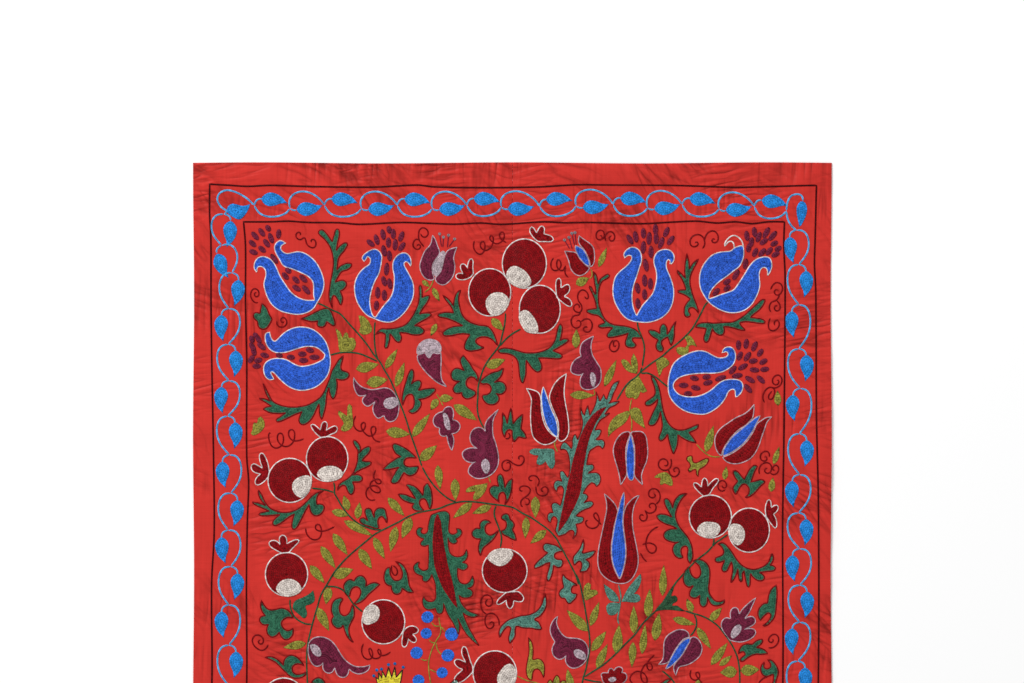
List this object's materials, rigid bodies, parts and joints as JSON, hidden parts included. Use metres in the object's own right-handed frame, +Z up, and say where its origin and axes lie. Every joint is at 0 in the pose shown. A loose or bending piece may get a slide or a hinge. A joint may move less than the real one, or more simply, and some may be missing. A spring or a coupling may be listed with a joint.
{
  "type": "suzani embroidered textile",
  "caption": "Large flat embroidered cloth of joined loom widths, laid out face up with soft folds and storage creases.",
  "frame": {"origin": "middle of the cloth's underside, on the surface that it lies on", "axes": "+Z up out of the embroidered face, +Y along the length towards the cloth's top edge, +X across the width to the right"},
  "size_m": [1, 1.5, 0.0066],
  "materials": {
    "cloth": "red satin-faced cloth, soft sheen, chain-stitch embroidery in silk"
  },
  "bodies": {
    "root": {"panel_left": "cloth", "panel_right": "cloth"}
  },
  "joints": []
}
